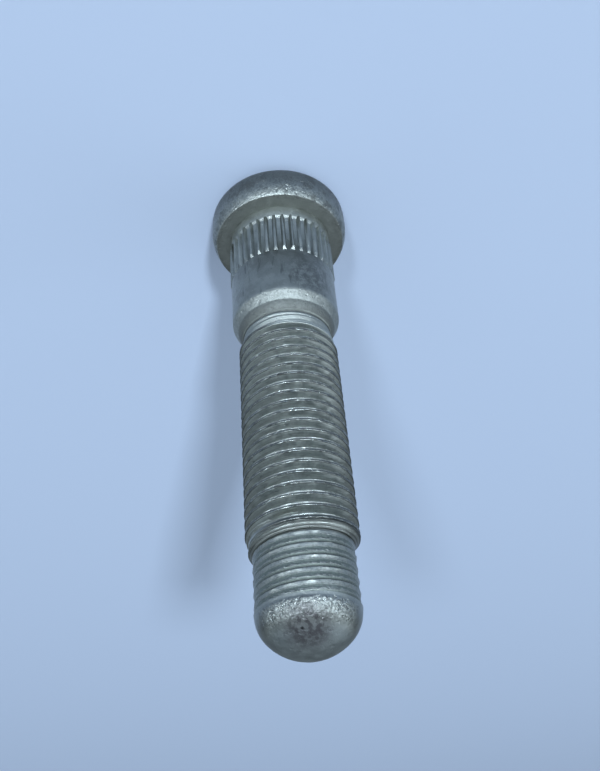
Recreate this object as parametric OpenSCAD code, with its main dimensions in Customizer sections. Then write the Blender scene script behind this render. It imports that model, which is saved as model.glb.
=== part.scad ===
// Press-in wheel stud, M14 x 1.5: one cold-headed, thread-rolled and zinc-plated piece of steel.
// It stands on its head: +Z runs along the axis from the head to the nose,
// and the origin is the middle of the head's outer face. Sizes are in millimetres.

/* [Head] */
// Largest diameter of the round head
head_d = 21.5; // [20.4:0.1:24]
// Height of the head, outer face to seat
head_h = 6.4; // [5:0.1:8]
// Radius of the head's edge at the outer face
head_face_r = 1.9; // [0.8:0.1:2.2]
// Radius of the rim's crown, which narrows the head towards the seat
crown_r = 4.2; // [3.6:0.1:6]
// Height of the crowned part of the rim
crown_len = 2.3; // [1.5:0.1:2.6]

/* [Neck and shoulder] */
// Diameter of the plain neck and shoulder
shoulder_d = 15.7; // [15:0.1:16.4]
// Radius in the corner between seat and neck
neck_fillet_r = 0.3; // [0.1:0.1:0.8]
// Plain neck between the seat and the serration
neck_len = 2.2; // [1.2:0.1:3]
// Plain shoulder between the serration and the taper
shoulder_len = 7.8; // [5:0.1:10]
// Radius of the shoulder's edge where the taper starts
shoulder_edge_r = 1.2; // [0.6:0.1:3]

/* [Serration] */
// Number of teeth round the shank
tooth_count = 38; // [30:1:44]
// Height of the tooth tips over the shoulder
tooth_rise = 0.18; // [0.1:0.02:0.4]
// Depth of the valleys under the shoulder
valley_cut = 0.24; // [0.1:0.02:0.4]
// Length of the toothed band
serration_len = 7.3; // [4:0.1:10]
// Width of a tooth at its tip, as a share of the distance to the next
tooth_tip = 0.16; // [0.1:0.02:0.3]
// Width of a tooth at its foot, as a share of the distance to the next
tooth_foot = 0.46; // [0.36:0.02:0.8]
// Length of the sloping end of each tooth
tooth_end_len = 0.4; // [0.2:0.05:0.8]

/* [Taper] */
// Length of the taper from the shoulder down to the thread
taper_len = 3.1; // [2.4:0.1:4]
// Height of the taper's foot over the thread's root
taper_foot = 0.27; // [0.2:0.01:0.4]

/* [Thread] */
// Outer diameter of the thread
thread_d = 14; // [13:0.05:14.5]
// Distance from one crest to the next
pitch = 1.5; // [1.25:0.05:1.75]
// Length of the thread, from the taper to the pilot
thread_len = 33.1; // [20:0.1:40]
// Length over which the first turns rise to full height
thread_rise = 2.2; // [1.5:0.1:3]
// Length over which the thread falls to the pilot's ridges
thread_fall = 0.6; // [0.4:0.1:2]
// Angle round the axis at which the thread starts
thread_turn = 8; // [0:1:359]

/* [Pilot and nose] */
// Height of the pilot's low ridges over the thread's root
ridge_rise = 0.13; // [0.06:0.01:0.2]
// Length of the ridged pilot
pilot_len = 8.1; // [5:0.1:11]
// Length over which the last ridge fades out
ridge_fade = 0.7; // [0.4:0.1:1.4]
// Height of the domed nose
nose_h = 5.2; // [4.6:0.1:5.8]
// Radius of the nose's shoulder
nose_corner_r = 4.4; // [3.8:0.1:4.5]

/* [Fineness] */
// Steps in each turn of the thread
steps = 32; // [24:2:36]

/* [Hidden] */
$fn = 96;
steel = [0.58, 0.61, 0.62];

// Thread form: flanks at 60 degrees to each other, crest and root flats by the pitch.
// A rolled crest isn't filled to a sharp flat, so it is wider than the root
flank = tan(30);
crest_flat = pitch / 5;
root_flat = pitch / 11;
thread_depth = (pitch - crest_flat - root_flat) / 2 / flank;

// Radii
head_r = head_d / 2;
shoulder_r = shoulder_d / 2;
tooth_r = shoulder_r + tooth_rise;
valley_r = shoulder_r - valley_cut;
thread_r = thread_d / 2;
root_r = thread_r - thread_depth;
foot_r = root_r + taper_foot;
pilot_r = root_r + ridge_rise;
// The nose stands a hair proud of the ridges, so that the last one runs out against it
nose_proud = 0.02;
nose_r = pilot_r + nose_proud;

// Heights along the axis
seat_z = head_h;
serration_z = seat_z + neck_len;
shoulder_z = serration_z + serration_len;
taper_z = shoulder_z + shoulder_len;
thread_z = taper_z + taper_len;
pilot_z = thread_z + thread_len;
nose_z = pilot_z + pilot_len;
tip_z = nose_z + nose_h;

// What a rounded corner takes off a square one, with the corner at the origin
module corner_waste(r) {
    difference() {
        translate([-r, -r])
            square([r + 1, r + 1]);
        translate([-r, -r])
            circle(r);
    }
}

// What the rim's crown takes off, with the crown's widest point at the origin
module crown_waste() {
    difference() {
        translate([-crown_r, 0])
            square([crown_r + 1, crown_len + 1]);
        translate([-crown_r, 0])
            circle(crown_r);
    }
}

module head_profile() {
    difference() {
        square([head_r, head_h]);
        translate([head_r, head_h - crown_len])
            crown_waste();
        translate([head_r, 0])
            mirror([0, 1])
                corner_waste(head_face_r);
    }
}

module neck_fillet_profile() {
    overlap = 0.5;
    difference() {
        translate([shoulder_r - overlap, seat_z - overlap])
            square([neck_fillet_r + overlap, neck_fillet_r + overlap]);
        translate([shoulder_r + neck_fillet_r, seat_z + neck_fillet_r])
            circle(neck_fillet_r);
    }
}

// Neck, core of the serration, shoulder and taper, with sharp edges
module shank_profile() {
    // The core stays just under the valleys, with a slope at each end of them
    core = valley_cut + 0.05;
    polygon([
        [0, seat_z - 1],
        [shoulder_r, seat_z - 1],
        [shoulder_r, serration_z],
        [shoulder_r - core, serration_z + core],
        [shoulder_r - core, shoulder_z - core],
        [shoulder_r, shoulder_z],
        [shoulder_r, taper_z],
        [foot_r, thread_z],
        [0, thread_z]
    ]);
}

// The shoulder's edge is rounded where the taper starts, by an arc that touches both lines
module shoulder_edge_waste() {
    slope = atan2(shoulder_r - foot_r, taper_len);
    reach = shoulder_edge_r * tan(slope / 2);
    difference() {
        polygon([
            [shoulder_r, taper_z - reach],
            [shoulder_r + 0.5, taper_z],
            [shoulder_r - reach * sin(slope), taper_z + reach * cos(slope)]
        ]);
        translate([shoulder_r - shoulder_edge_r, taper_z - reach])
            circle(shoulder_edge_r);
    }
}

// Head, neck, shoulder and taper in one turned body
module lower_body() {
    rotate_extrude() {
        head_profile();
        neck_fillet_profile();
        difference() {
            shank_profile();
            shoulder_edge_waste();
        }
    }
}

function tooth_point(i, share, r) =
    let (turn = 360 * (i + share) / tooth_count)
    [r * cos(turn), r * sin(turn)];

// Each tooth is narrow, with a flat tip, and a wide flat valley lies beside it
module tooth_outline() {
    polygon([
        for (i = [0 : tooth_count - 1])
            each [
                tooth_point(i, -tooth_tip / 2, tooth_r),
                tooth_point(i, tooth_tip / 2, tooth_r),
                tooth_point(i, tooth_foot / 2, valley_r),
                tooth_point(i, 1 - tooth_foot / 2, valley_r)
            ]
    ]);
}

// Straight teeth round the shank, sloped down at both ends
module serration() {
    clear = 0.1;
    intersection() {
        translate([0, 0, serration_z])
            linear_extrude(serration_len)
                tooth_outline();
        rotate_extrude()
            polygon([
                [0, serration_z],
                [valley_r, serration_z],
                [tooth_r + clear, serration_z + tooth_end_len],
                [tooth_r + clear, shoulder_z - tooth_end_len],
                [valley_r, shoulder_z],
                [0, shoulder_z]
            ]);
    }
}

// The thread is one helical ridge. It starts under the taper, rises to full height, falls
// to the low round ridges of the pilot and ends inside the nose. Each step round the helix
// has a row of four points: foot, crest, crest and foot.
start_inside = 0.9;
end_inside = 0.6;
collar = 0.15;
thread_from = thread_z - start_inside;
thread_to = nose_z + end_inside;
last = floor(((thread_to - thread_from) / pitch - 1) * steps);
ridge_foot = (pitch - root_flat) / 2;
// The crests of the low ridges stay this much narrower than their feet
ridge_round = 0.2;

function ridge_mid(i) = thread_from + pitch * (i / steps + 0.5);
function ramp(x) = max(0, min(1, x));

// Height of the ridge over the root, where its middle is at z
function ridge_h(z) =
    let (
        rise = ramp((z - ridge_mid(0)) / thread_rise),
        fall = ramp((z - pilot_z + thread_fall) / thread_fall),
        fade = ramp((ridge_mid(last) - z) / ridge_fade)
    )
    rise * fade * (thread_depth + (ridge_rise - thread_depth) * fall);

function around(i, r, z) =
    let (turn = thread_turn + 360 * i / steps)
    [r * cos(turn), r * sin(turn), z];

function row(i) =
    let (
        z = ridge_mid(i),
        h = ridge_h(z),
        crest = min(crest_flat / 2 + (thread_depth - h) * flank, ridge_foot - ridge_round)
    )
    [
        around(i, root_r, z - ridge_foot),
        around(i, root_r + h, z - crest),
        around(i, root_r + h, z + crest),
        around(i, root_r, z + ridge_foot)
    ];

module rolled_thread() {
    w = 4;
    end = last + 1 - steps;
    rows = [for (i = [0 : last]) each row(i)];
    // Flat ring under the first turn, flat ring over the last, and the last turn's top edge
    low = len(rows);
    high = low + steps;
    edge = high + steps;
    points = concat(
        rows,
        [for (j = [0 : steps - 1]) around(j, root_r, thread_from - collar)],
        [for (j = [0 : steps - 1]) around(end + j, root_r, thread_to + collar)],
        [for (j = [0 : steps - 1]) around(end + j, root_r, ridge_mid(end + j + steps) - ridge_foot)]
    );
    // The point that lies over row i: the foot of the next turn, or the top edge
    function over(i) = i < end ? (i + steps) * w : edge + i - end;
    faces = concat(
        [for (i = [0 : last - 1], k = [0 : w - 2])
            each [
                [i * w + k, i * w + k + 1, (i + 1) * w + k + 1],
                [i * w + k, (i + 1) * w + k + 1, (i + 1) * w + k]
            ]],
        [for (i = [0 : last - 1])
            each [
                [i * w + 3, over(i), over(i + 1)],
                [i * w + 3, over(i + 1), (i + 1) * w + 3]
            ]],
        [for (j = [0 : steps - 2])
            [low + j, j * w, (j + 1) * w, low + j + 1]],
        [[low + steps - 1, (steps - 1) * w, steps * w, 3, 2, 1, 0, low]],
        [for (j = [0 : steps - 2])
            [edge + j, high + j, high + j + 1, edge + j + 1]],
        [[high, edge, last * w, last * w + 1, last * w + 2, last * w + 3, edge + steps - 1,
          high + steps - 1]],
        [[for (j = [0 : steps - 1]) low + j]],
        [[for (j = [steps - 1 : -1 : 0]) high + j]]
    );
    polyhedron(points, faces, convexity = 10);
}

// The nose is a wide arc over the tip and a tighter one round its shoulder, which touch.
nose_flat = nose_r - nose_corner_r;
tip_r = (nose_flat * nose_flat + nose_h * nose_h - nose_corner_r * nose_corner_r)
    / (2 * (nose_h - nose_corner_r));
// Where the two arcs meet
meet = asin(nose_flat / (tip_r - nose_corner_r));
meet_x = tip_r * sin(meet);
meet_z = tip_z - tip_r + tip_r * cos(meet);

module nose() {
    far = 9;
    rotate_extrude() {
        polygon([[0, nose_z], [nose_r, nose_z], [meet_x, meet_z], [0, tip_z]]);
        intersection() {
            translate([nose_flat, nose_z])
                circle(nose_corner_r);
            polygon([[nose_r, nose_z], [nose_r + far, nose_z], [meet_x + far, meet_z + far],
                     [meet_x, meet_z]]);
        }
        intersection() {
            translate([0, tip_z - tip_r])
                circle(tip_r);
            polygon([[0, tip_z], [meet_x, meet_z], [meet_x + far, meet_z + far], [0, tip_z + far]]);
        }
    }
}

module wheel_stud() {
    color(steel) {
        lower_body();
        serration();
        rolled_thread();
        nose();
    }
}

wheel_stud();
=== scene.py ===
# %% [markdown]
# # A wheel stud of zinc-plated steel
# The stud is one piece of steel: a round head, a serrated and plain shank, a taper, a long
# rolled thread, a low-ridged pilot and a domed nose. Its sizes are those of the solid model.
# This script builds a finer skin over that solid, gives it its plated finish, and lights it.
#
# First the imported model is loaded.

# %% Load the solid model
import math

import bmesh
import bpy
from mathutils import Matrix, Vector


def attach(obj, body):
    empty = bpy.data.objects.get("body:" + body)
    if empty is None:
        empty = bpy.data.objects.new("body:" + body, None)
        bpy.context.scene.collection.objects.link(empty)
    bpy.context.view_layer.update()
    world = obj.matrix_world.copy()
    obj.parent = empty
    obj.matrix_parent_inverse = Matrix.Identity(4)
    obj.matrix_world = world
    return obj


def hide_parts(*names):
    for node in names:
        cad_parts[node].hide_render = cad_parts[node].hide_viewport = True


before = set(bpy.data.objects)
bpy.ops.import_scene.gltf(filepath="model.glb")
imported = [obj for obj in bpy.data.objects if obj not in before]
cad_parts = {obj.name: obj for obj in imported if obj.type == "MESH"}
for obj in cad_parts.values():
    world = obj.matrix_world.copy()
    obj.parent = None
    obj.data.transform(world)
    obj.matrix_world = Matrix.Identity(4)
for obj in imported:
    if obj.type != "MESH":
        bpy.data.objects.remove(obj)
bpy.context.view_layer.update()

# %% [markdown]
# ## Sizes
# The solid is in millimetres and Blender works in metres, so each size is written in
# millimetres and `MM` turns it into metres where a point is placed. Heights run up the axis
# from the head's outer face, on which the stud stands, and slopes are in degrees. `SINK` is
# how far the foot of a ridge is sunk into the body, so that no gap shows between the two. The
# helix starts near the end of the taper, `RUN_IN` before it and half a pitch on. The spin of
# the body and a turn of the helix each have their number of steps.

# %% Sizes of the stud
MM = 0.001
HEAD_R = 10.75
HEAD_H = 6.4
FACE_RING_R = 4.5
FACE_EDGE_R = 1.9
CROWN_R = 4.2
CROWN_LEN = 2.3
SHANK_R = 7.85
TOOTH_FROM = 8.6
TOOTH_TO = 15.9
TOOTH_COUNT = 38
TOOTH_TIP_R = 8.03
VALLEY_R = 7.61
TAPER_FROM = 23.7
TAPER_TO = 26.8
TAPER_EDGE_R = 1.0
TAPER_BEND = 25.15
TAPER_BEND_DEPTH = 0.07
TAPER_FOOT_R = 6.35
TAPER_FOOT_LEN = 0.28
THREAD_R = 7.0
ROOT_R = 6.08
PITCH = 1.5
RISE_LEN = 2.2
FALL_LEN = 0.6
PILOT_FROM = 59.9
PILOT_R = 6.21
NOSE_FROM = 68.0
NOSE_R = 6.23
NOSE_H = 5.2
NOSE_CORNER_R = 4.4
NOSE_BASE_SLOPE = 7
RUN_IN = 0.9
SINK = 0.12
SPIN_STEPS = 192
TURN_STEPS = 128
print("length", NOSE_FROM + NOSE_H, "mm")

# %% [markdown]
# ## Drawing an outline and turning it
# Everything round on the stud was turned or rolled, so it starts as half an outline in the
# XZ plane. The outline is drawn as by hand: a small plane is added and merged to one point,
# and that point is extruded from corner to corner. A turned piece is then spun about Z.
#
# Operators act on what is selected, so these helpers keep the selection to one piece.

# %% Helpers for selecting and editing
def clear_selection():
    if bpy.context.object and bpy.context.object.mode != "OBJECT":
        bpy.ops.object.mode_set(mode="OBJECT")
    bpy.ops.object.select_all(action="DESELECT")


def edit(piece):
    clear_selection()
    piece.select_set(True)
    bpy.context.view_layer.objects.active = piece
    bpy.ops.object.mode_set(mode="EDIT")


def leave():
    bpy.ops.object.mode_set(mode="OBJECT")


def close_up(piece):
    """Merges doubles and turns every face outwards."""
    edit(piece)
    bpy.ops.mesh.select_all(action="SELECT")
    bpy.ops.mesh.remove_doubles(threshold=1e-6)
    bpy.ops.mesh.normals_make_consistent(inside=False)
    leave()
    print(piece.name, len(piece.data.polygons), "faces")


# %% [markdown]
# An outline is a list of corners. Some of it is arcs, and some is given as the distance over
# a radius that its neighbours share.

# %% Helpers for outlines
def draw_outline(name, corners):
    """A chain of edges through corners, each (distance from the axis, height) in mm."""
    clear_selection()
    start = Vector((corners[0][0] * MM, 0, corners[0][1] * MM))
    bpy.ops.mesh.primitive_plane_add(size=MM, location=(0, 0, 0))
    piece = bpy.context.object
    piece.name = name
    bpy.ops.object.mode_set(mode="EDIT")
    bpy.ops.mesh.select_mode(type="VERT")
    bpy.ops.mesh.select_all(action="SELECT")
    bpy.ops.mesh.merge(type="CENTER")
    bpy.ops.transform.translate(value=start)
    for here, there in zip(corners, corners[1:]):
        step = Vector(((there[0] - here[0]) * MM, 0, (there[1] - here[1]) * MM))
        bpy.ops.mesh.extrude_region_move(TRANSFORM_OT_translate={"value": step})
    leave()
    return piece


def arc(middle, radius, start, end, steps):
    """Points of an arc in the XZ plane, its angles counted in degrees from +X towards +Z."""
    turns = [start + (end - start) * i / steps for i in range(steps + 1)]
    return [(middle[0] + radius * math.cos(math.radians(turn)),
             middle[1] + radius * math.sin(math.radians(turn))) for turn in turns]


def over(base_r, points):
    """Points given as (distance over base_r, height) as (distance from the axis, height)."""
    return [(base_r + rise, height) for rise, height in points]


# %% [markdown]
# ## The turned body
# The blank of the stud runs from the head to the nose. One outline holds all of it, and one
# spin makes it round. It is put together from short named stretches. The head comes first:
# its flat face with a rounded edge, the crowned rim that draws in towards the hub, the small
# edge of the seat, and the flat seat itself. The face has one more ring of points on it, and
# the rim's arc stops `SEAT_EDGE_TURN` degrees early, to leave room for the edge of the seat.

# %% Outline of the head
SEAT_EDGE_TURN = 1.2
crown_turn = math.degrees(math.asin(CROWN_LEN / CROWN_R))
seat_r = HEAD_R - CROWN_R * (1 - math.cos(math.radians(crown_turn)))
head_outline = (
    [(0, 0), (FACE_RING_R, 0)]
    + arc((HEAD_R - FACE_EDGE_R, FACE_EDGE_R), FACE_EDGE_R, -90, 0, 10)
    + arc((HEAD_R - CROWN_R, HEAD_H - CROWN_LEN), CROWN_R, 0, crown_turn - SEAT_EDGE_TURN, 12)
    + over(seat_r, [(-0.02, HEAD_H - 0.015), (-0.10, HEAD_H)])
    + [(SHANK_R, HEAD_H)]
)
print("seat reaches", round(seat_r, 2), "mm from the axis")

# %% [markdown]
# The shank has a short plain neck, then a lower core on which the teeth stand, then the
# plain shoulder with its rounded edge. The taper has a slight fold half way, and at its foot
# a small groove where the thread's first turn begins. Where a slope meets a flat, a second
# point lies close by, so that smooth shading doesn't blur the edge.

# %% Outline of the shank and the taper
core_r = VALLEY_R - 0.03
core_slope = SHANK_R - core_r
taper_rate = (SHANK_R - TAPER_FOOT_R) / (TAPER_TO - TAPER_FROM)
bend_r = SHANK_R - taper_rate * (TAPER_BEND - TAPER_FROM) - TAPER_BEND_DEPTH
taper_slope = math.degrees(math.atan2(SHANK_R - bend_r, TAPER_BEND - TAPER_FROM))
edge_reach = TAPER_EDGE_R * math.tan(math.radians(taper_slope / 2))
foot_z = TAPER_TO - TAPER_FOOT_LEN
foot_r = TAPER_FOOT_R + taper_rate * TAPER_FOOT_LEN

neck_outline = [(SHANK_R, TOOTH_FROM - 0.34), (SHANK_R - 0.03, TOOTH_FROM - 0.285)]
tooth_core_outline = over(core_r, [(0.03, TOOTH_FROM + 0.055), (0, TOOTH_FROM + 0.11),
                                   (0, TOOTH_TO - core_slope), (core_slope, TOOTH_TO)])
shoulder_edge = arc((SHANK_R - TAPER_EDGE_R, TAPER_FROM - edge_reach), TAPER_EDGE_R,
                    0, taper_slope, 8)
taper_outline = over(bend_r, [(0.02, TAPER_BEND - 0.05), (-0.01, TAPER_BEND),
                              (-0.02, TAPER_BEND + 0.06)])
foot_outline = over(foot_r, [(0, foot_z), (-0.05, foot_z + 0.03), (-0.22, foot_z + 0.11),
                             (-0.25, foot_z + 0.20), (-0.19, foot_z + 0.36),
                             (-0.20, foot_z + 0.62)])
print("upper taper slopes by", round(taper_slope, 1), "degrees, down to", round(bend_r, 2), "mm")

# %% [markdown]
# The core of the thread and of the pilot is plain, since the ridges are swept over it. The
# nose is two arcs that touch: a tight one at its shoulder and a wide one over the tip. It
# starts with a short slope of `NOSE_BASE_SLOPE` degrees that touches the first arc.

# %% Outline of the core and the nose
pilot_root_r = ROOT_R - 0.05
nose_flat = NOSE_R - NOSE_CORNER_R
tip_r = (nose_flat ** 2 + NOSE_H ** 2 - NOSE_CORNER_R ** 2) / (2 * (NOSE_H - NOSE_CORNER_R))
nose_meet = math.degrees(math.asin(nose_flat / (tip_r - NOSE_CORNER_R)))
nose_base_r = nose_flat + NOSE_CORNER_R / math.cos(math.radians(NOSE_BASE_SLOPE))

core_outline = [(ROOT_R, foot_z + 0.80), (ROOT_R, PILOT_FROM),
                (pilot_root_r, PILOT_FROM + 0.5), (pilot_root_r, NOSE_FROM - 0.05)]
nose_outline = (
    over(nose_base_r, [(0, NOSE_FROM), (-0.007, NOSE_FROM + 0.06), (-0.059, NOSE_FROM + 0.48)])
    + arc((nose_flat, NOSE_FROM), NOSE_CORNER_R, NOSE_BASE_SLOPE, 90 - nose_meet, 14)
    + arc((0, NOSE_FROM + NOSE_H - tip_r), tip_r, 90 - nose_meet, 90, 8)[1:]
)
body_outline = (head_outline + neck_outline + tooth_core_outline + shoulder_edge
                + taper_outline + foot_outline + core_outline + nose_outline)
print("outline of", len(body_outline), "points, nose radius", round(tip_r, 2), "mm")

# %% [markdown]
# The spin is so fine that the outline looks round up close. Its first and last edges lie
# over each other until doubles are merged.

# %% Spin the body
body = draw_outline("stud_skin", body_outline)
edit(body)
bpy.ops.mesh.select_all(action="SELECT")
bpy.ops.mesh.spin(steps=SPIN_STEPS, angle=math.tau, center=(0, 0, 0), axis=(0, 0, 1))
leave()
close_up(body)

# %% [markdown]
# ## The rolled thread
# Rolling dies press the root of the thread into the blank, and the metal rises between them
# into a ridge. The two sides of the ridge meet at the crest with a fine seam, which shows as
# a double line of light. The ridge's section is drawn once, a little sunk into the core, and
# a Screw modifier sweeps it up the helix, which climbs one pitch in each turn. Steps of the
# sweep are counted from the start of the helix, so that all ridges keep the same phase.

# %% Helper that sweeps a section up the helix
START_TURN = 8.0
HELIX_FROM = TAPER_TO - RUN_IN + PITCH / 2


def sweep_section(name, section, low, high):
    """Sweeps a section of (radius, height over the ridge's middle) from middle low to high."""
    piece = draw_outline(name, [(r, z + HELIX_FROM) for r, z in section + section[:1]])
    skip = round((low - HELIX_FROM) / PITCH * TURN_STEPS)
    steps = round((high - low) / PITCH * TURN_STEPS)
    edit(piece)
    bpy.ops.mesh.select_all(action="SELECT")
    bpy.ops.mesh.remove_doubles(threshold=1e-6)
    bpy.ops.transform.translate(value=(0, 0, PITCH * MM * skip / TURN_STEPS))
    bpy.ops.transform.rotate(value=-math.radians(START_TURN) - math.tau * skip / TURN_STEPS,
                             orient_axis="Z", center_override=(0, 0, 0))
    leave()
    sweep = piece.modifiers.new("sweep", "SCREW")
    sweep.axis = "Z"
    sweep.angle = math.tau * steps / TURN_STEPS
    sweep.screw_offset = PITCH * MM * steps / TURN_STEPS
    sweep.steps = sweep.render_steps = steps
    sweep.use_merge_vertices = False
    bpy.ops.object.modifier_apply(modifier="sweep")
    edit(piece)
    bpy.ops.mesh.select_mode(type="EDGE")
    bpy.ops.mesh.select_all(action="DESELECT")
    bpy.ops.mesh.select_non_manifold()
    bpy.ops.mesh.edge_face_add()
    bpy.ops.mesh.select_all(action="SELECT")
    bpy.ops.mesh.normals_make_consistent(inside=False)
    leave()
    print(name, "swept", round(steps / TURN_STEPS, 2), "turns,", len(piece.data.polygons), "faces")
    return piece


def ridge_middle(point):
    """Height in mm of the ridge's middle where a point of it lies."""
    turn = math.degrees(math.atan2(point.y, point.x)) - START_TURN
    middle = HELIX_FROM + PITCH * turn / 360
    return middle + PITCH * round((point.z / MM - middle) / PITCH)


# %% [markdown]
# The section goes round from the sunk foot, up the flank on the head's side, over the lip
# there, through the seam, over the lip on the nose's side and down the other flank. The seam
# is 0.05 mm deep and 0.2 mm wide.

# %% Sweep the full ridge
ridge_h = THREAD_R - ROOT_R
foot_half = (PITCH - PITCH / 11) / 2
head_flank = over(ROOT_R, [(-SINK, foot_half + 0.03), (-SINK, -foot_half - 0.03),
                           (0.01, -foot_half), (0.07, 0.055 - foot_half)])
head_lip = over(THREAD_R, [(-0.100, -0.262), (-0.025, -0.225), (0, -0.200),
                           (-0.004, -0.185), (-0.009, -0.172), (-0.030, -0.120)])
seam = over(THREAD_R, [(-0.042, -0.095), (-0.046, -0.065), (-0.046, 0.010),
                       (-0.038, 0.055), (-0.012, 0.095)])
nose_lip = over(THREAD_R, [(-0.004, 0.112), (-0.006, 0.128), (-0.011, 0.140),
                           (-0.031, 0.188), (-0.047, 0.206), (-0.120, 0.248)])
nose_flank = over(ROOT_R, [(0.07, foot_half - 0.055), (0.01, foot_half)])
ridge_section = head_flank + head_lip + seam + nose_lip + nose_flank
ridge = sweep_section("ridge", ridge_section, PITCH * 0.9 + HELIX_FROM, PILOT_FROM + 0.2)

# %% [markdown]
# The ridge doesn't have its full height everywhere. It rises out of the taper's foot, and at
# the pilot, where the blank is thinner, it drops within half a turn. So the ridge is taken in
# thin slices along its helix, and in each slice the points over the root are pulled in
# towards the axis, which is what a scale in X and Y about the axis does.

# %% Helpers for slices of a ridge
def share(value, low, high):
    """How far a value is on its way from low to high, as a number from 0 to 1."""
    return max(0.0, min(1.0, (value - low) / (high - low)))


def slices_of(piece, low, high, wanted):
    """Points of the ridge by their place along the helix, where wanted(radius, height) is true."""
    step = PITCH / TURN_STEPS
    slices = {}
    for point in piece.data.vertices:
        middle = ridge_middle(point.co)
        if low <= middle <= high and wanted(math.hypot(point.co.x, point.co.y) / MM,
                                            point.co.z / MM - middle):
            slices.setdefault(round(middle / step), []).append(point.index)
    return {place * step: points for place, points in slices.items()}


def pick(piece, points):
    """Selects only these points of the piece in edit mode."""
    bpy.ops.mesh.select_all(action="DESELECT")
    mesh = bmesh.from_edit_mesh(piece.data)
    mesh.verts.ensure_lookup_table()
    for index in points:
        mesh.verts[index].select = True
    mesh.select_flush(True)


def pull_in(piece, low, high, height_at):
    """Pulls the points over the root in, so that the crest is height_at(middle) over it."""
    slices = slices_of(piece, low, high, lambda radius, height: radius > ROOT_R + 0.02)
    edit(piece)
    bpy.ops.mesh.select_mode(type="VERT")
    for middle, points in slices.items():
        pick(piece, points)
        pull = (ROOT_R + height_at(middle)) / THREAD_R
        bpy.ops.transform.resize(value=(pull, pull, 1), center_override=(0, 0, 0))
    leave()
    print(piece.name, "pulled in over", len(slices), "slices")


# %% [markdown]
# The rise starts at the root's height. The fall starts `FALL_LEN` before the pilot and ends
# under the root, a little after the pilot's start.

# %% Let the ridge rise and fall
rise_from = HELIX_FROM + 1.3
rise_to = HELIX_FROM + RISE_LEN + 0.6
fall_from = PILOT_FROM - FALL_LEN
fall_to = PILOT_FROM + 0.15
pull_in(ridge, HELIX_FROM, rise_to, lambda z: ridge_h * share(z, rise_from, rise_to))
pull_in(ridge, fall_from, PILOT_FROM + 0.3,
        lambda z: ridge_h - (ridge_h + SINK) * share(z, fall_from, fall_to))

# %% [markdown]
# The lips aren't even: the lip on the nose's side is torn into short bright pieces, and the
# other wanders a little. Blender's Randomize moves each chosen point a little, from a fixed
# seed. The last turn of the crest is also up to 0.1 mm wider, because the dies run out there.

# %% Roughen the lips and widen the last crest
def roughen(piece, name, wanted, amount, seed):
    """Moves the points where wanted(radius, height over the ridge's middle) is true."""
    chosen = [point.index for point in piece.data.vertices
              if wanted(math.hypot(point.co.x, point.co.y) / MM,
                        point.co.z / MM - ridge_middle(point.co))]
    edit(piece)
    bpy.ops.mesh.select_mode(type="VERT")
    pick(piece, chosen)
    bpy.ops.transform.vertex_random(offset=amount * MM, uniform=0.6, normal=0.0, seed=seed)
    leave()
    print(name, len(chosen), "points moved")


roughen(ridge, "lip on the nose's side",
        lambda r, h: r > THREAD_R - 0.06 and 0.09 < h < 0.22, amount=0.034, seed=3)
roughen(ridge, "lip on the head's side",
        lambda r, h: r > THREAD_R - 0.035 and h < -0.10, amount=0.009, seed=5)
widen_from = PILOT_FROM - 1.6
widened = slices_of(ridge, widen_from, PILOT_FROM + 0.3,
                    lambda radius, height: height > 0.02 and radius > ROOT_R - 0.05)
edit(ridge)
for middle, points in widened.items():
    pick(ridge, points)
    reach = 0.10 * share(middle, widen_from, PILOT_FROM - 0.7)
    bpy.ops.transform.translate(value=(0, 0, reach * MM))
leave()
print("slices widened:", len(widened))

# %% [markdown]
# Where the dies run out, the last crest comes down to the pilot in small steps. They are one
# more section, a stair of three treads, swept over the last turn and a half. It is let in
# from nothing at its start, and drops with the crest at its end.

# %% Sweep the steps of the last turn
step_section = over(ROOT_R, [
    (-SINK, 0.10), (-SINK, 1.26), (0.15, 1.24), (0.25, 1.16), (0.30, 1.08),
    (0.38, 0.92), (0.54, 0.86), (0.60, 0.78), (0.66, 0.66), (0.82, 0.60),
    (0.88, 0.54), (0.89, 0.47), (0.82, 0.38), (0.30, 0.14),
])
steps_from = PILOT_FROM - 2.15
steps_full = PILOT_FROM - 1.75
steps_piece = sweep_section("steps", step_section, steps_from, fall_to)
pull_in(steps_piece, steps_from, steps_full,
        lambda z: ridge_h * share(z, steps_from, steps_full) - 0.05)
pull_in(steps_piece, fall_from, fall_to,
        lambda z: ridge_h - (ridge_h + 0.05) * share(z, fall_from, PILOT_FROM + 0.10))
roughen(steps_piece, "steps", lambda r, h: r > ROOT_R + 0.22, amount=0.014, seed=6)

# %% [markdown]
# ## The pilot's low ridges
# On the pilot the blank is so thin that the dies only leave a low wave. Each turn has a sharp
# step on the head's side, a soft slope that shines, a nearly flat valley, a narrow rough strip
# where the metal was pushed up, and a small groove before the next step. It is its own low
# section, swept up the same helix and on into the nose, so that it has no open end.

# %% Sweep the low ridge
low_section = (
    over(pilot_root_r, [(-SINK, -0.12), (-SINK, 1.38), (0, 1.34)])
    + over(PILOT_R, [
        (-0.158, 1.23), (-0.151, 1.17), (-0.147, 1.14), (-0.121, 1.07), (-0.114, 1.03),
        (-0.110, 0.95), (-0.118, 0.85), (-0.140, 0.78), (-0.143, 0.70), (-0.133, 0.54),
        (-0.124, 0.46), (-0.012, 0.08), (-0.003, 0.03), (-0.010, -0.02), (-0.06, -0.06),
    ])
    + [(pilot_root_r, -0.11)]
)
low_ridge = sweep_section("low_ridge", low_section, PILOT_FROM - 0.9, NOSE_FROM - 0.04)
roughen(low_ridge, "rough strip",
        lambda r, h: 0.76 < (h % PITCH) < 1.00 and r > pilot_root_r + 0.01, amount=0.040, seed=8)
roughen(low_ridge, "slopes", lambda r, h: r > PILOT_R - 0.15, amount=0.007, seed=9)
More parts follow.
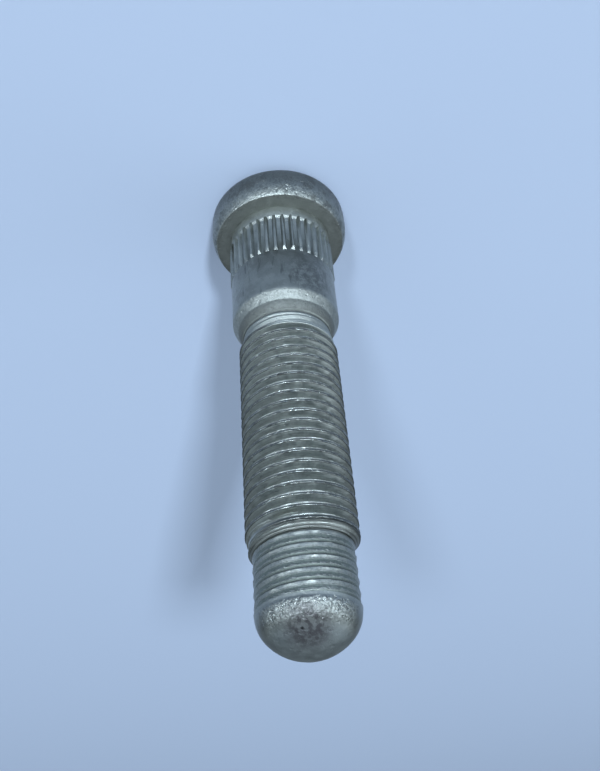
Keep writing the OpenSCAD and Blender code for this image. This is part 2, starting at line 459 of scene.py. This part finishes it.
roughen(low_ridge, "step edge",
        lambda r, h: r > PILOT_R - 0.08 and -0.10 < h < 0.05, amount=0.030, seed=12)

# %% [markdown]
# The first turn after the taper is low as well: a round ridge with a soft slope towards the
# nose, out of which the full crest rises in the second turn.

# %% Sweep the first turn
first_section = over(ROOT_R, [
    (-SINK, -0.62), (-SINK, 0.66), (0.01, 0.62), (0.02, 0.50), (0.06, 0.40),
    (0.26, -0.02), (0.31, -0.13), (0.29, -0.24), (0.10, -0.40), (0.01, -0.58),
])
first_turn = sweep_section("first_turn", first_section, HELIX_FROM, HELIX_FROM + 2.3)
roughen(first_turn, "first turn", lambda r, h: r > ROOT_R + 0.05, amount=0.008, seed=4)

# %% [markdown]
# ## The serration
# The teeth of the serration bite into the hub when the stud is pressed in. Each is a narrow
# straight wedge, with a steep slope at the head's end and a long one at the nose's end, and
# the valleys between them are wider. One tooth is shaped from a cube: its outer face is made
# narrower and shorter, and that face's edges are bevelled. A spin copies it round the shank.
# `HALF_SHARE` is half a tooth's width at its foot, as a share of the way to the next tooth,
# and `LEAD` is how far a tooth starts before `TOOTH_FROM`.

# %% One tooth, copied round the shank
HALF_SHARE = 0.27
TIP_TO_FOOT = 0.30
HEAD_SLOPE = 0.15
NOSE_SLOPE = 0.70
LEAD = 0.42
TOOTH_BEVEL = 0.05
tooth_low = TOOTH_FROM - LEAD
tooth_len = TOOTH_TO - tooth_low
tooth_half = TOOTH_TIP_R * math.sin(math.radians(HALF_SHARE * 360 / TOOTH_COUNT))
tooth_foot_r = core_r - 0.03
clear_selection()
bpy.ops.mesh.primitive_cube_add(size=1, location=(0, 0, 0))
teeth = bpy.context.object
teeth.name = "teeth"
bpy.ops.object.mode_set(mode="EDIT")
bpy.ops.mesh.select_all(action="SELECT")
bpy.ops.transform.resize(value=((TOOTH_TIP_R - tooth_foot_r) * MM, 2 * tooth_half * MM,
                                tooth_len * MM))
bpy.ops.transform.translate(value=((TOOTH_TIP_R + tooth_foot_r) / 2 * MM, 0,
                                   (tooth_low + TOOTH_TO) / 2 * MM))
leave()
outer = TOOTH_TIP_R * MM
for point in teeth.data.vertices:
    point.select = point.co.x > outer - 1e-6
for line in teeth.data.edges:
    line.select = all(teeth.data.vertices[i].select for i in line.vertices)
for face in teeth.data.polygons:
    face.select = all(teeth.data.vertices[i].select for i in face.vertices)
edit(teeth)
bpy.ops.transform.resize(value=(1, TIP_TO_FOOT, (tooth_len - HEAD_SLOPE - NOSE_SLOPE) / tooth_len))
bpy.ops.transform.translate(value=(0, 0, (HEAD_SLOPE - NOSE_SLOPE) / 2 * MM))
bpy.ops.mesh.bevel(offset=TOOTH_BEVEL * MM, segments=2, affect="EDGES")
bpy.ops.mesh.select_all(action="SELECT")
bpy.ops.mesh.spin(steps=TOOTH_COUNT, dupli=True, angle=math.tau, center=(0, 0, 0),
                  axis=(0, 0, 1))
leave()
close_up(teeth)

# %% [markdown]
# The ends of the real teeth are a little torn, so their points are moved too.

# %% Roughen the ends of the teeth
ends = [point.index for point in teeth.data.vertices
        if not tooth_low + 0.6 < point.co.z / MM < TOOTH_TO - 0.6]
edit(teeth)
bpy.ops.mesh.select_mode(type="VERT")
pick(teeth, ends)
bpy.ops.transform.vertex_random(offset=0.035 * MM, uniform=0.5, normal=0.0, seed=2)
leave()
print("tooth ends:", len(ends), "points moved")

# %% [markdown]
# ## One piece
# The stud is one piece of steel, so the body, the ridges and the teeth are joined into one
# object. Its normals are smoothed, except over edges sharper than 50 degrees. It takes the
# place of the solid's node and rides on its one body.

# %% Join the stud
clear_selection()
for part in (ridge, steps_piece, low_ridge, first_turn, teeth, body):
    part.select_set(True)
bpy.context.view_layer.objects.active = body
bpy.ops.object.join()
bpy.ops.object.shade_smooth_by_angle(angle=math.radians(50))
stud = bpy.context.object
stud.name = "stud"
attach(stud, "root")
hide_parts("wheel_stud")
print("stud", sum(len(face.vertices) - 2 for face in stud.data.polygons), "triangles")

# %% [markdown]
# ## Writing a material as sums
# A finish is a set of sums on noise patterns and places. The small class below wraps one
# output of a node, so that a sum in Python adds the Math nodes for it. `node` adds any other
# kind of node. A mask is such a sum that is 1 where something applies and 0 elsewhere.

# %% A class for shader sums
class Wire:
    """One output socket of a material's node tree."""

    def __init__(self, socket):
        self.socket = socket

    def node(self, kind, settings, inputs, output=0):
        """Adds a node: its settings first, then the value or the link of each input."""
        tree = self.socket.id_data
        made = tree.nodes.new(kind)
        for name, value in settings.items():
            setattr(made, name, value)
        for name, value in inputs.items():
            if isinstance(value, Wire):
                tree.links.new(value.socket, made.inputs[name])
            else:
                made.inputs[name].default_value = value
        return Wire(made.outputs[output])

    def sum(self, operation, *values):
        """Adds a Math node on the given values."""
        return self.node("ShaderNodeMath", {"operation": operation}, dict(enumerate(values)))

    def __add__(self, other):
        return self.sum("ADD", self, other)

    def __sub__(self, other):
        return self.sum("SUBTRACT", self, other)

    def __mul__(self, other):
        return self.sum("MULTIPLY", self, other)

    def __radd__(self, other):
        return self.sum("ADD", other, self)

    def __rsub__(self, other):
        return self.sum("SUBTRACT", other, self)

    def __rmul__(self, other):
        return self.sum("MULTIPLY", other, self)

    def from_to(self, low, high, result_low=0.0, result_high=1.0):
        """Maps low..high to the two results, smoothly and without passing them."""
        return self.node("ShaderNodeMapRange", {"interpolation_type": "SMOOTHSTEP"},
                         {"Value": self, "From Min": low, "From Max": high,
                          "To Min": result_low, "To Max": result_high})

    def band(self, rise_from, rise_to, fall_from, fall_to):
        """Rises from 0 to 1 between the first two values, and falls to 0 between the others."""
        return self.from_to(rise_from, rise_to) * self.from_to(fall_from, fall_to, 1, 0)

    def noise(self, scale, detail=3.0, rough=0.55, stretch=(1, 1, 1), move=(0, 0, 0)):
        """Noise on a place in millimetres, stretched along an axis if wanted."""
        place = self.node("ShaderNodeMapping", {"vector_type": "POINT"},
                          {"Vector": self, "Location": move, "Scale": stretch})
        return self.node("ShaderNodeTexNoise", {"noise_dimensions": "3D"},
                         {"Vector": place, "Scale": scale, "Detail": detail, "Roughness": rough})

    def near(self, middle, reach):
        """1 at a point in millimetres, fading to 0 at the given reach from it."""
        way = self.node("ShaderNodeVectorMath", {"operation": "DISTANCE"}, {0: self, 1: middle}, 1)
        return way.from_to(reach * 0.3, reach, 1, 0)

    def blend(self, first, second):
        """Mixes two colours, with this wire as the share of the second."""
        return self.node("ShaderNodeMix", {"data_type": "RGBA"}, {0: self, 6: first, 7: second}, 2)


def shade(level):
    """The grey of zinc, a little green, at one level of brightness."""
    return (level * 1.12, level * 1.17, level * 1.06, 1)


# %% [markdown]
# ## Zinc-plated steel
# Bright zinc is a thin metal coat. It takes over the marks of the steel under it: fine turning
# and rolling lines that run round the stud, and the small dents that studs get when they
# tumble about in a barrel. The plating itself is a fine grain.
#
# All of it is worked out from the place on the stud, in millimetres: the height `z` and the
# `radius` from the axis. The lines follow a place that changes along the outline only, and on
# the thread it changes mostly with the radius, so that the lines run with the helix.

# %% The places the finish is worked out from
zinc = bpy.data.materials.new("zinc_steel")
zinc.use_nodes = True
shader = zinc.node_tree.nodes["Principled BSDF"]
start = Wire(zinc.node_tree.nodes.new("ShaderNodeTexCoord").outputs["Object"])
place = start.node("ShaderNodeVectorMath", {"operation": "SCALE"},
                   {"Vector": start, "Scale": 1 / MM})
split = place.node("ShaderNodeSeparateXYZ", {}, {"Vector": place}).socket.node
x, y, z = (Wire(split.outputs[i]) for i in range(3))
squares = x * x + y * y
radius = squares.sum("SQRT", squares)
on_thread = z.band(TAPER_TO - 0.2, TAPER_TO + 0.4, NOSE_FROM, NOSE_FROM + 0.4)
along = radius * 1.1 + z * (1 - 0.92 * on_thread)
round_place = place.node("ShaderNodeCombineXYZ", {}, {"X": along})
print("places ready:", len(zinc.node_tree.nodes), "nodes")

# %% [markdown]
# The patterns come next. Each has its own scale, and most have a move to another part of the
# noise, so that no two of them agree.

# %% Grain, lines, dents and stains
grain = place.noise(3.2, detail=4.0, rough=0.6)
mottle = place.noise(0.9, detail=3.0, rough=0.6, move=(4.0, 1.0, 7.0))
cloud = place.noise(0.22, detail=2.0, move=(1.0, 5.0, 2.0))
lines = round_place.noise(3.6, detail=2.0, rough=0.7)
dents = place.noise(1.7, detail=1.0, move=(9.0, 2.0, 4.0)).from_to(0.60, 0.74)
stain = place.noise(0.55, detail=4.0, rough=0.65, move=(2.0, 8.0, 3.0))
blotch = place.noise(1.3, detail=4.0, rough=0.7, move=(3.0, 6.0, 0.0)).from_to(0.42, 0.58)
gap = place.noise(0.75, detail=3.0, rough=0.7, move=(7.0, 7.0, 1.0)).from_to(0.45, 0.55)
print("patterns ready:", len(zinc.node_tree.nodes), "nodes")

# %% [markdown]
# Then the masks of the stud's parts, from the head to the tip of the nose. They are bands in
# height and in radius, and follow the sizes of the skin.

# %% Masks of the head and the shank
on_head = (z.from_to(HEAD_H - 0.1, HEAD_H + 0.1, 1, 0)
           * radius.from_to(HEAD_R - 1.75, HEAD_R - 0.85))
low_rim_painted_shade = (z.from_to(HEAD_H - 3.8, HEAD_H - 1.2, 1, 0)
           * radius.from_to(HEAD_R - 1.15, HEAD_R - 0.45))
on_seat = (z.band(HEAD_H - 0.10, HEAD_H - 0.04, HEAD_H + 0.02, HEAD_H + 0.06)
           * radius.from_to(SHANK_R + 0.01, SHANK_R + 0.10))
on_neck = z.band(HEAD_H + 0.02, HEAD_H + 0.1, TOOTH_FROM - 0.4, TOOTH_FROM - 0.2)
tooth_side_painted_shade = (radius.band(VALLEY_R + 0.02, VALLEY_R + 0.05, TOOTH_TIP_R - 0.13, TOOTH_TIP_R - 0.07)
              * z.band(TOOTH_FROM + 0.6, TOOTH_FROM + 0.8, TOOTH_TO - 0.9, TOOTH_TO - 0.7))
on_shoulder = z.band(TOOTH_TO, TOOTH_TO + 0.5, TAPER_FROM - 0.3, TAPER_FROM + 0.1)
on_taper = z.band(TAPER_FROM, TAPER_FROM + 0.3, TAPER_TO - 0.5, TAPER_TO - 0.2)
whole_taper = z.band(TAPER_FROM - 0.2, TAPER_FROM + 0.2, TAPER_TO - 0.3, TAPER_TO)
high_taper = z.band(TAPER_FROM - 0.1, TAPER_FROM + 0.2, TAPER_BEND - 0.15, TAPER_BEND + 0.05)
low_taper = z.band(TAPER_BEND - 0.15, TAPER_BEND + 0.25, TAPER_TO - 0.4, TAPER_TO - 0.2)
foot_groove_painted_shade = z.band(foot_z + 0.04, foot_z + 0.10, foot_z + 0.32, foot_z + 0.40)
print("masks of head and shank ready:", len(zinc.node_tree.nodes), "nodes")

# %% [markdown]
# On the thread the radius tells the lips from the seam between them, and on the pilot it
# tells the groove and the rough strip from the slope.

# %% Masks of the thread, the pilot and the nose
full_thread = z.band(TAPER_TO + 1.5, TAPER_TO + 2.1, PILOT_FROM + 0.1, PILOT_FROM + 0.5)
lip = radius.from_to(THREAD_R - 0.025, THREAD_R - 0.015) * on_thread
seam_painted_shade = (radius.band(THREAD_R - 0.14, THREAD_R - 0.10, THREAD_R - 0.035, THREAD_R - 0.020)
             * on_thread)
steps_painted_shade = z.band(PILOT_FROM - 0.8, PILOT_FROM - 0.5, PILOT_FROM + 0.6, PILOT_FROM + 0.9)
on_pilot = z.band(PILOT_FROM + 0.7, PILOT_FROM + 1.1, NOSE_FROM - 0.1, NOSE_FROM + 0.1)
pilot_groove_painted_shade = (radius.from_to(PILOT_R - 0.174, PILOT_R - 0.154, 1, 0)
          * z.band(PILOT_FROM + 0.4, PILOT_FROM + 0.7, NOSE_FROM - 0.2, NOSE_FROM))
strip = (radius.band(PILOT_R - 0.124, PILOT_R - 0.116, PILOT_R - 0.104, PILOT_R - 0.096)
         * on_pilot)
low_nose = z.band(NOSE_FROM + 0.1, NOSE_FROM + 0.4, NOSE_FROM + 2.2, NOSE_FROM + 3.2)
front_nose = y.from_to(-3.6, -1.6, 1, 0) * z.from_to(NOSE_FROM + 0.3, NOSE_FROM + 0.7)
nose_tip = z.from_to(NOSE_FROM + 2.4, NOSE_FROM + 3.8)
print("masks of thread, pilot and nose ready:", len(zinc.node_tree.nodes), "nodes")

# %% [markdown]
# Where the stud was handled, the coat is duller and darker: in patches on the head's rim, on
# the shoulder and over the tip of the nose, which also has a small pit. A painted highlight
# makes one side of the nose brighter. The shoulder has scratches along the stud. Dark specks
# lie on the rim, on the taper, on the pilot and on the front of the nose.

# %% Stains, scratches and specks
head_stain = stain.from_to(0.50, 0.62) * on_head
shoulder_stain = place.near((-4.0, -6.7, TAPER_FROM - 3.3), 5.0) * blotch
tip_stain = place.near((0.2, -4.6, NOSE_FROM + 3.5), 4.2) * (0.65 + 0.35 * blotch)
pit = place.near((0.8, -4.55, NOSE_FROM + 3.45), 0.27)
# a painted highlight on one side of the nose
nose_painted_highlight = place.near((-2.8, -5.4, NOSE_FROM + 1.2), 3.0)
scratch = place.noise(1.6, detail=2.0, stretch=(1, 1, 0.18)).from_to(0.60, 0.70) * on_shoulder
speck = (place.noise(3.4, detail=2.0, move=(5.0, 3.0, 9.0)).from_to(0.50, 0.60)
         * (0.8 * on_head + low_nose * front_nose + 0.5 * on_pilot + 0.4 * on_taper))
print("stains ready:", len(zinc.node_tree.nodes), "nodes")

# %% [markdown]
# The colour starts as mottled grey. Each layer after it is a mask and the colour that it
# brings, and each covers the ones before it. The thread is bright, with painted shade in the
# seam, and dark in the gaps of its torn lips. Painted shade also darkens the pilot's groove
# and valleys, the steps of the last turn, the groove at the taper's foot, the sides of the
# teeth, the seat, the lower part of the head's rim and the lower half of the taper. A painted
# highlight brightens one side of the nose.

# %% Colour of the zinc
layers = [
    (cloud.from_to(0.40, 0.62) * 0.4, shade(0.22)),
    (on_thread * 0.7, shade(0.31)),
    (full_thread * 0.8, shade(0.38)),
    (on_thread * lines.from_to(0.40, 0.60, 0.5, 0), shade(0.18)),
    (on_thread * grain.from_to(0.38, 0.62, 0.45, 0), shade(0.21)),
    (lip, shade(0.30)),
    (lip * 0.85 * gap, shade(0.05)),
    # painted shade in the seam between the lips of the crest
    (seam_painted_shade * 0.85, shade(0.07)),
    (on_pilot * 0.8, shade(0.24)),
    # painted shade in the pilot's valleys, tinted green
    (on_pilot * radius.from_to(PILOT_R - 0.132, PILOT_R - 0.118, 0.7, 0), (0.125, 0.150, 0.118, 1)),
    # painted shade on the steps of the last turn, striped like treads and risers
    (steps_painted_shade * (0.25 + 0.6 * lines.from_to(0.44, 0.56, 1, 0)), shade(0.085)),
    # painted shade in the groove at the taper's foot
    (foot_groove_painted_shade * 0.75, shade(0.06)),
    (on_shoulder * (0.30 + 0.50 * stain.from_to(0.45, 0.60)), shade(0.175)),
    # painted shade on the sides of the teeth
    (tooth_side_painted_shade * 0.2, shade(0.11)),
    # painted shade on the seat under the head
    (on_seat * 0.55, shade(0.17)),
    (on_neck * 0.6, shade(0.25)),
    # painted shade on the lower part of the head's rim
    (low_rim_painted_shade * 0.8, shade(0.09)),
    (high_taper * 0.4, shade(0.26)),
    # painted shade on the lower half of the taper
    (low_taper * 0.85, shade(0.12)),
    (on_head * 0.3, shade(0.18)),
    # painted shade in the pilot's groove
    (pilot_groove_painted_shade * 0.85, shade(0.05)),
    (low_nose * 0.5, shade(0.20)),
    # painted highlight on one side of the nose
    (nose_painted_highlight * 0.5, shade(0.32)),
    (nose_tip * 0.6, (0.20, 0.225, 0.23, 1)),
    (head_stain * 0.7, shade(0.095)),
    (scratch * 0.6, shade(0.07)),
    (shoulder_stain * 0.7, shade(0.075)),
    (on_taper * blotch * 0.30, shade(0.14)),
    (speck * 0.65, shade(0.09)),
    (tip_stain * 0.92, (0.056, 0.052, 0.054, 1)),
    (pit * 0.9, (0.02, 0.02, 0.02, 1)),
]
tone = mottle.from_to(0.30, 0.70).blend(shade(0.23), shade(0.285))
for mask, colour in layers:
    tone = mask.blend(tone, colour)
print(len(layers), "layers of colour")

# %% [markdown]
# The coat is satin: smoother on the lips and on the front of the nose, rougher on the seat, on
# the neck, on the taper and in the stains. The relief is a bump, where a height of 1 stands
# for 0.04 mm. Grain and dents are deeper on the rim, on the front of the nose, on the taper
# and on the pilot's rough strip.

# %% Roughness and relief of the zinc
polish = (0.27 + 0.10 * mottle.from_to(0.35, 0.65) + 0.08 * grain.from_to(0.35, 0.65)
          + 0.03 * on_shoulder + 0.12 * whole_taper + 0.02 * on_pilot
          - 0.08 * lip - 0.07 * low_nose * front_nose
          + 0.12 * head_stain + 0.10 * nose_tip + 0.14 * low_taper
          + 0.20 * on_seat + 0.16 * on_neck + 0.12 * tip_stain)
hammered = 1 + 2.6 * low_nose * front_nose + 1.8 * on_head + 2.5 * strip + 0.8 * on_taper
off_thread = 1 - 0.8 * on_thread
relief = (grain * hammered + mottle * hammered * off_thread
          + 0.5 * lines * (0.4 + 0.6 * on_thread)
          - 0.7 * dents * hammered * off_thread - 0.5 * scratch - 2.0 * pit)
bump = place.node("ShaderNodeBump", {},
                  {"Strength": 0.8, "Distance": 0.04 * MM, "Height": relief})
zinc.node_tree.links.new(tone.socket, shader.inputs["Base Color"])
zinc.node_tree.links.new(polish.socket, shader.inputs["Roughness"])
zinc.node_tree.links.new(bump.socket, shader.inputs["Normal"])
shader.inputs["Metallic"].default_value = 1.0
stud.data.materials.clear()
stud.data.materials.append(zinc)
print("zinc uses", len(zinc.node_tree.nodes), "nodes")

# %% [markdown]
# ## Floor
# The stud stands on its head on a plain pale blue sheet, which is matt.

# %% Lay the floor
clear_selection()
bpy.ops.mesh.primitive_plane_add(size=5, location=(0, 0, 0))
floor = bpy.context.object
floor.name = "floor"
paper = bpy.data.materials.new("pale_paper")
paper.use_nodes = True
sheet_shader = paper.node_tree.nodes["Principled BSDF"]
sheet_shader.inputs["Base Color"].default_value = (0.395, 0.445, 0.535, 1)
sheet_shader.inputs["Roughness"].default_value = 0.9
sheet_shader.inputs["Specular IOR Level"].default_value = 0.1
floor.data.materials.append(paper)
print("floor", [round(side, 1) for side in floor.dimensions[:2]], "m")

# %% [markdown]
# ## Light
# Satin metal shows what surrounds it, so most of the light is broad, and all of it is a
# little blue. A lamp is a rectangle that faces its aim. Lamps of one kind stand in a half
# ring in front of the stud, at turns in degrees about its axis, and 0 is straight in front.

# %% Helpers for lamps
COOL = (0.72, 0.85, 1.0)
MID_STUD = (0, 0, 0.045)


def soft_lamp(name, spot, aim, size, power, tint):
    """A rectangular lamp of size in metres at a spot, turned to face its aim."""
    lamp = bpy.data.objects.new(name, bpy.data.lights.new(name, "AREA"))
    lamp.data.shape = "RECTANGLE"
    lamp.data.size, lamp.data.size_y = size
    lamp.data.energy = power
    lamp.data.color = tint
    lamp.location = spot
    lamp.rotation_euler = (Vector(aim) - Vector(spot)).to_track_quat("-Z", "Y").to_euler()
    lamp.visible_camera = False
    bpy.context.collection.objects.link(lamp)
    return lamp


def half_ring(name, front, aim, size, powers):
    """Turns the spot front about the stud's axis, with a lamp for each (turn, power)."""
    lamps = []
    for turn, power in powers:
        spot = Matrix.Rotation(math.radians(turn), 3, "Z") @ Vector(front)
        lamps.append(soft_lamp(name, spot, aim, size, power, COOL))
    return lamps


# %% [markdown]
# Five low boxes round the front give the lips, the taper and the nose their wide bright
# bands. The narrow strips above them are seen only in reflections, and draw the fine lines on
# the crests. Soft boxes above and at both sides fill the rest. The two shadow lamps are left
# out of reflections: they light the floor and give the stud its two soft shadows. The world
# is a pale blue fill.

# %% Lamps and world
half_ring("front_box", (0, -1.2, 0.225), MID_STUD, (0.92, 0.37),
          ((-84, 0.8), (-42, 2.1), (0, 2.4), (42, 2.0), (84, 0.7)))
strip_lamps = half_ring("strip_lamp", (0, -1.17, 0.615), MID_STUD, (0.92, 0.05),
                        ((-84, 1.6), (-42, 8.0), (0, 12.5), (42, 7.4), (84, 1.3)))
for lamp in strip_lamps:
    lamp.visible_diffuse = False
soft_lamp("top_box", (0, 0, 0.90), (0, 0, 0), (0.9, 0.8), 2.1, COOL)
soft_lamp("right_box", (-0.75, 0.15, 0.75), (0, 0, 0.04), (0.7, 0.7), 1.7, COOL)
soft_lamp("left_box", (0.75, 0.15, 0.75), (0, 0, 0.04), (0.7, 0.7), 0.45, (0.60, 0.79, 1.0))
shadow_lamps = half_ring("shadow_lamp", (0, -2.16, 1.055), (0, 0, 0.02), (0.27, 0.27),
                         ((-13, 82.0), (13, 32.0)))
for lamp in shadow_lamps:
    lamp.visible_glossy = False
world = bpy.data.worlds.new("studio")
bpy.context.scene.world = world
world.use_nodes = True
world.node_tree.nodes["Background"].inputs["Color"].default_value = (0.70, 0.85, 1.0, 1)
world.node_tree.nodes["Background"].inputs["Strength"].default_value = 0.25
print(len(bpy.data.lights), "lamps")

# %% [markdown]
# ## Camera
# In this frame the photograph looks at the stud from the nose's side, 38 degrees down, with
# the head at the top of the picture. The camera's place and turn come from fitting it to the
# photograph's thread crests, rings and outline. Its turn is given by the way back from the
# picture and the way to its right, made square to each other.

# %% Set the camera
CAMERA_PLACE = (0, -0.0880, 0.1034)
view = bpy.data.objects.new("photo_view", bpy.data.cameras.new("photo_view"))
bpy.context.collection.objects.link(view)
view.data.lens = 48.1
view.data.sensor_width = 36
view.data.sensor_fit = "HORIZONTAL"
view.data.clip_start = 0.005
back = Vector((0.0114, -0.7903, 0.6126)).normalized()
right = Vector((-0.9969, 0.0384, 0.0682))
right = (right - back * right.dot(back)).normalized()
up = back.cross(right)
camera_turn = Matrix((right, up, back)).transposed().to_4x4()
view.matrix_world = Matrix.Translation(CAMERA_PLACE) @ camera_turn
bpy.context.scene.camera = view
bpy.context.scene.view_settings.view_transform = "Standard"
print("camera up", [round(part, 3) for part in up])
